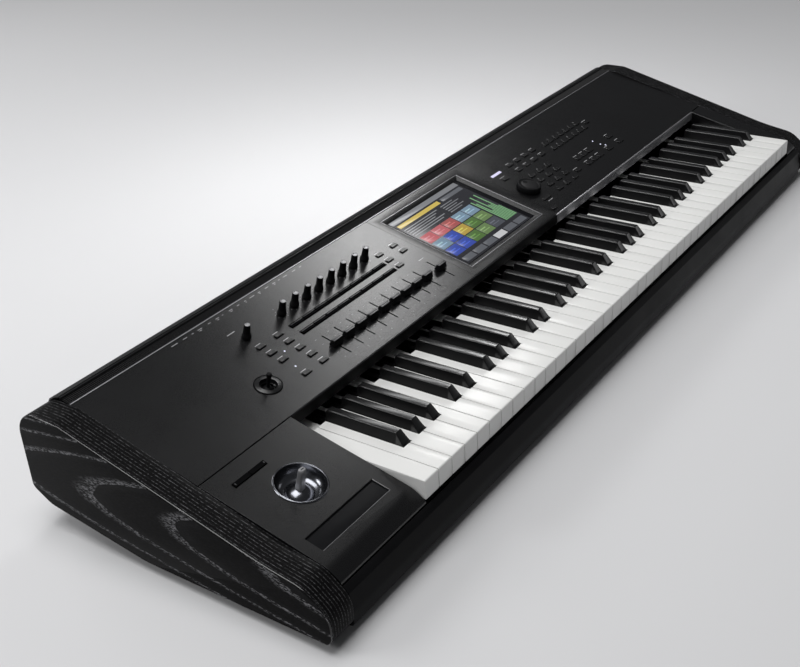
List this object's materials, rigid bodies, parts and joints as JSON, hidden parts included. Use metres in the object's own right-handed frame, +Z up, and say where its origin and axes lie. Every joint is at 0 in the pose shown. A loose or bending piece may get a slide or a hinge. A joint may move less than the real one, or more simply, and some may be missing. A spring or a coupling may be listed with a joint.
{
  "type": "music workstation",
  "caption": "Keyboard workstation with hinged keys, two gimballed joysticks, faders, knobs, a dial, a touch screen in a sloping panel and dark wooden ends.",
  "frame": {"origin": "centre of the bounding box's bottom, on the floor under the feet", "axes": "+X along the keys from bass to treble, +Y from the player to the back, +Z up"},
  "size_m": [1.245, 0.372, 0.1421],
  "materials": {
    "black_metal": "satin black with fine speckle",
    "black_plastic": "satin",
    "black_gloss": "polished",
    "white_key": "polished",
    "black_wood": "black stain over open grain",
    "lip_metal": "satin grey",
    "chrome": "polished",
    "glass": "polished",
    "board_green": "solder mask",
    "zinc": "zinc plated",
    "grey_pad": "fine matte"
  },
  "bodies": {
    "case": {"bottom_case": "black_metal", "front_rail": "black_metal", "rear_panel": "black_metal", "wood_end_left": "black_wood", "wood_end_right": "black_wood", "panel_left": "black_metal", "panel_right": "black_metal", "display_bezel": "black_metal", "touch_screen": "glass", "lip_strip": "lip_metal", "rear_strip": "black_plastic", "joystick_block": "black_metal", "treble_block": "black_metal", "ribbon_pad": "grey_pad", "main_joystick_bowl": "chrome", "vector_joystick_bowl": "black_metal", "keybed": "white_key", "control_board": "board_green", "main_board": "board_green", "power_supply": "zinc", "socket_block": "black_plastic"},
    "key_c": {"key_c": "white_key"},
    "key_c_sharp": {"key_c_sharp": "black_gloss"},
    "key_d": {"key_d": "white_key"},
    "key_d_sharp": {"key_d_sharp": "black_gloss"},
    "key_e": {"key_e": "white_key"},
    "key_f": {"key_f": "white_key"},
    "key_f_sharp": {"key_f_sharp": "black_gloss"},
    "key_g": {"key_g": "white_key"},
    "key_g_sharp": {"key_g_sharp": "black_gloss"},
    "key_a": {"key_a": "white_key"},
    "key_a_sharp": {"key_a_sharp": "black_gloss"},
    "key_b": {"key_b": "white_key"},
    "channel_knob_1": {"channel_knob_1": "black_plastic"},
    "channel_knob_2": {"channel_knob_2": "black_plastic"},
    "channel_knob_3": {"channel_knob_3": "black_plastic"},
    "channel_knob_4": {"channel_knob_4": "black_plastic"},
    "channel_knob_5": {"channel_knob_5": "black_plastic"},
    "channel_knob_6": {"channel_knob_6": "black_plastic"},
    "channel_knob_7": {"channel_knob_7": "black_plastic"},
    "channel_knob_8": {"channel_knob_8": "black_plastic"},
    "volume_knob": {"volume_knob": "black_plastic"},
    "value_dial": {"value_dial": "black_plastic"},
    "fader_1": {"fader_1": "black_plastic"},
    "fader_2": {"fader_2": "black_plastic"},
    "fader_3": {"fader_3": "black_plastic"},
    "fader_4": {"fader_4": "black_plastic"},
    "fader_5": {"fader_5": "black_plastic"},
    "fader_6": {"fader_6": "black_plastic"},
    "fader_7": {"fader_7": "black_plastic"},
    "fader_8": {"fader_8": "black_plastic"},
    "fader_9": {"fader_9": "black_plastic"},
    "value_fader": {"value_fader": "black_plastic"},
    "switch_1": {"switch_1": "black_plastic"},
    "switch_2": {"switch_2": "black_plastic"},
    "main_joystick_gimbal": {"main_joystick_gimbal": "zinc"},
    "main_joystick_stick": {"main_joystick_stick": "chrome"},
    "vector_joystick_gimbal": {"vector_joystick_gimbal": "zinc"},
    "vector_joystick_stick": {"vector_joystick_stick": "black_plastic"},
    "power_rocker": {"power_rocker": "black_plastic"}
  },
  "joints": [
    {"name": "key_c_press", "type": "hinge", "parent": "case", "child": "key_c", "pos_m": [0.1202, 0.055, 0.06855], "axis": [1, 0, 0], "range_deg": [0, 2.5], "stiffness_Nm_per_rad": 0.6, "springref_deg": -6.88},
    {"name": "key_c_sharp_press", "type": "hinge", "parent": "case", "child": "key_c_sharp", "pos_m": [0.1202, 0.055, 0.06855], "axis": [1, 0, 0], "range_deg": [0, 2.8], "stiffness_Nm_per_rad": 0.6, "springref_deg": -6.88},
    {"name": "key_d_press", "type": "hinge", "parent": "case", "child": "key_d", "pos_m": [0.1202, 0.055, 0.06855], "axis": [1, 0, 0], "range_deg": [0, 2.5], "stiffness_Nm_per_rad": 0.6, "springref_deg": -6.88},
    {"name": "key_d_sharp_press", "type": "hinge", "parent": "case", "child": "key_d_sharp", "pos_m": [0.1202, 0.055, 0.06855], "axis": [1, 0, 0], "range_deg": [0, 2.8], "stiffness_Nm_per_rad": 0.6, "springref_deg": -6.88},
    {"name": "key_e_press", "type": "hinge", "parent": "case", "child": "key_e", "pos_m": [0.1202, 0.055, 0.06855], "axis": [1, 0, 0], "range_deg": [0, 2.5], "stiffness_Nm_per_rad": 0.6, "springref_deg": -6.88},
    {"name": "key_f_press", "type": "hinge", "parent": "case", "child": "key_f", "pos_m": [0.1202, 0.055, 0.06855], "axis": [1, 0, 0], "range_deg": [0, 2.5], "stiffness_Nm_per_rad": 0.6, "springref_deg": -6.88},
    {"name": "key_f_sharp_press", "type": "hinge", "parent": "case", "child": "key_f_sharp", "pos_m": [0.1202, 0.055, 0.06855], "axis": [1, 0, 0], "range_deg": [0, 2.8], "stiffness_Nm_per_rad": 0.6, "springref_deg": -6.88},
    {"name": "key_g_press", "type": "hinge", "parent": "case", "child": "key_g", "pos_m": [0.1202, 0.055, 0.06855], "axis": [1, 0, 0], "range_deg": [0, 2.5], "stiffness_Nm_per_rad": 0.6, "springref_deg": -6.88},
    {"name": "key_g_sharp_press", "type": "hinge", "parent": "case", "child": "key_g_sharp", "pos_m": [0.1202, 0.055, 0.06855], "axis": [1, 0, 0], "range_deg": [0, 2.8], "stiffness_Nm_per_rad": 0.6, "springref_deg": -6.88},
    {"name": "key_a_press", "type": "hinge", "parent": "case", "child": "key_a", "pos_m": [0.1202, 0.055, 0.06855], "axis": [1, 0, 0], "range_deg": [0, 2.5], "stiffness_Nm_per_rad": 0.6, "springref_deg": -6.88},
    {"name": "key_a_sharp_press", "type": "hinge", "parent": "case", "child": "key_a_sharp", "pos_m": [0.1202, 0.055, 0.06855], "axis": [1, 0, 0], "range_deg": [0, 2.8], "stiffness_Nm_per_rad": 0.6, "springref_deg": -6.88},
    {"name": "key_b_press", "type": "hinge", "parent": "case", "child": "key_b", "pos_m": [0.1202, 0.055, 0.06855], "axis": [1, 0, 0], "range_deg": [0, 2.5], "stiffness_Nm_per_rad": 0.6, "springref_deg": -6.88},
    {"name": "channel_knob_1_turn", "type": "hinge", "parent": "case", "child": "channel_knob_1", "pos_m": [-0.3298, 0.0944, 0.12387], "axis": [0, -0.2317, 0.9728], "range_deg": [-150, 150]},
    {"name": "channel_knob_2_turn", "type": "hinge", "parent": "case", "child": "channel_knob_2", "pos_m": [-0.30767, 0.0944, 0.12387], "axis": [0, -0.2317, 0.9728], "range_deg": [-150, 150]},
    {"name": "channel_knob_3_turn", "type": "hinge", "parent": "case", "child": "channel_knob_3", "pos_m": [-0.28554, 0.0944, 0.12387], "axis": [0, -0.2317, 0.9728], "range_deg": [-150, 150]},
    {"name": "channel_knob_4_turn", "type": "hinge", "parent": "case", "child": "channel_knob_4", "pos_m": [-0.26341, 0.0944, 0.12387], "axis": [0, -0.2317, 0.9728], "range_deg": [-150, 150]},
    {"name": "channel_knob_5_turn", "type": "hinge", "parent": "case", "child": "channel_knob_5", "pos_m": [-0.24128, 0.0944, 0.12387], "axis": [0, -0.2317, 0.9728], "range_deg": [-150, 150]},
    {"name": "channel_knob_6_turn", "type": "hinge", "parent": "case", "child": "channel_knob_6", "pos_m": [-0.21915, 0.0944, 0.12387], "axis": [0, -0.2317, 0.9728], "range_deg": [-150, 150]},
    {"name": "channel_knob_7_turn", "type": "hinge", "parent": "case", "child": "channel_knob_7", "pos_m": [-0.19702, 0.0944, 0.12387], "axis": [0, -0.2317, 0.9728], "range_deg": [-150, 150]},
    {"name": "channel_knob_8_turn", "type": "hinge", "parent": "case", "child": "channel_knob_8", "pos_m": [-0.17489, 0.0944, 0.12387], "axis": [0, -0.2317, 0.9728], "range_deg": [-150, 150]},
    {"name": "volume_knob_turn", "type": "hinge", "parent": "case", "child": "volume_knob", "pos_m": [-0.3898, 0.09391, 0.12375], "axis": [0, -0.2317, 0.9728], "range_deg": [-150, 150]},
    {"name": "value_dial_turn", "type": "hinge", "parent": "case", "child": "value_dial", "pos_m": [0.1312, 0.04187, 0.11135], "axis": [0, -0.2317, 0.9728], "continuous": true},
    {"name": "fader_1_slide", "type": "slide", "parent": "case", "child": "fader_1", "axis": [0, 0.9728, 0.2317], "range_m": [-0.0166, 0.0166]},
    {"name": "fader_2_slide", "type": "slide", "parent": "case", "child": "fader_2", "axis": [0, 0.9728, 0.2317], "range_m": [-0.0166, 0.0166]},
    {"name": "fader_3_slide", "type": "slide", "parent": "case", "child": "fader_3", "axis": [0, 0.9728, 0.2317], "range_m": [-0.0166, 0.0166]},
    {"name": "fader_4_slide", "type": "slide", "parent": "case", "child": "fader_4", "axis": [0, 0.9728, 0.2317], "range_m": [-0.0166, 0.0166]},
    {"name": "fader_5_slide", "type": "slide", "parent": "case", "child": "fader_5", "axis": [0, 0.9728, 0.2317], "range_m": [-0.0166, 0.0166]},
    {"name": "fader_6_slide", "type": "slide", "parent": "case", "child": "fader_6", "axis": [0, 0.9728, 0.2317], "range_m": [-0.0166, 0.0166]},
    {"name": "fader_7_slide", "type": "slide", "parent": "case", "child": "fader_7", "axis": [0, 0.9728, 0.2317], "range_m": [-0.0166, 0.0166]},
    {"name": "fader_8_slide", "type": "slide", "parent": "case", "child": "fader_8", "axis": [0, 0.9728, 0.2317], "range_m": [-0.0166, 0.0166]},
    {"name": "fader_9_slide", "type": "slide", "parent": "case", "child": "fader_9", "axis": [0, 0.9728, 0.2317], "range_m": [-0.0166, 0.0166]},
    {"name": "value_fader_slide", "type": "slide", "parent": "case", "child": "value_fader", "axis": [0, 0.9728, 0.2317], "range_m": [-0.0166, 0.0166]},
    {"name": "switch_1_press", "type": "slide", "parent": "case", "child": "switch_1", "axis": [0, 0.2317, -0.9728], "range_m": [0, 0.0012], "stiffness_N_per_m": 400, "springref_m": -0.0015},
    {"name": "switch_2_press", "type": "slide", "parent": "case", "child": "switch_2", "axis": [0, 0.2317, -0.9728], "range_m": [0, 0.0012], "stiffness_N_per_m": 400, "springref_m": -0.0015},
    {"name": "main_joystick_tilt_fore", "type": "hinge", "parent": "case", "child": "main_joystick_gimbal", "pos_m": [-0.5226, -0.07514, 0.05881], "axis": [1, 0, 0], "range_deg": [-18, 18], "stiffness_Nm_per_rad": 0.15},
    {"name": "main_joystick_tilt_side", "type": "hinge", "parent": "main_joystick_gimbal", "child": "main_joystick_stick", "pos_m": [-0.5226, -0.07514, 0.05881], "axis": [0, 0.9728, 0.2317], "range_deg": [-18, 18], "stiffness_Nm_per_rad": 0.15},
    {"name": "vector_joystick_tilt_fore", "type": "hinge", "parent": "case", "child": "vector_joystick_gimbal", "pos_m": [-0.4338, 0.03125, 0.09854], "axis": [1, 0, 0], "range_deg": [-16, 16]},
    {"name": "vector_joystick_tilt_side", "type": "hinge", "parent": "vector_joystick_gimbal", "child": "vector_joystick_stick", "pos_m": [-0.4338, 0.03125, 0.09854], "axis": [0, 0.9728, 0.2317], "range_deg": [-16, 16]},
    {"name": "power_rocker_tilt", "type": "hinge", "parent": "case", "child": "power_rocker", "pos_m": [0.3942, 0.174, 0.04505], "axis": [1, 0, 0], "range_deg": [-14, 0]}
  ]
}
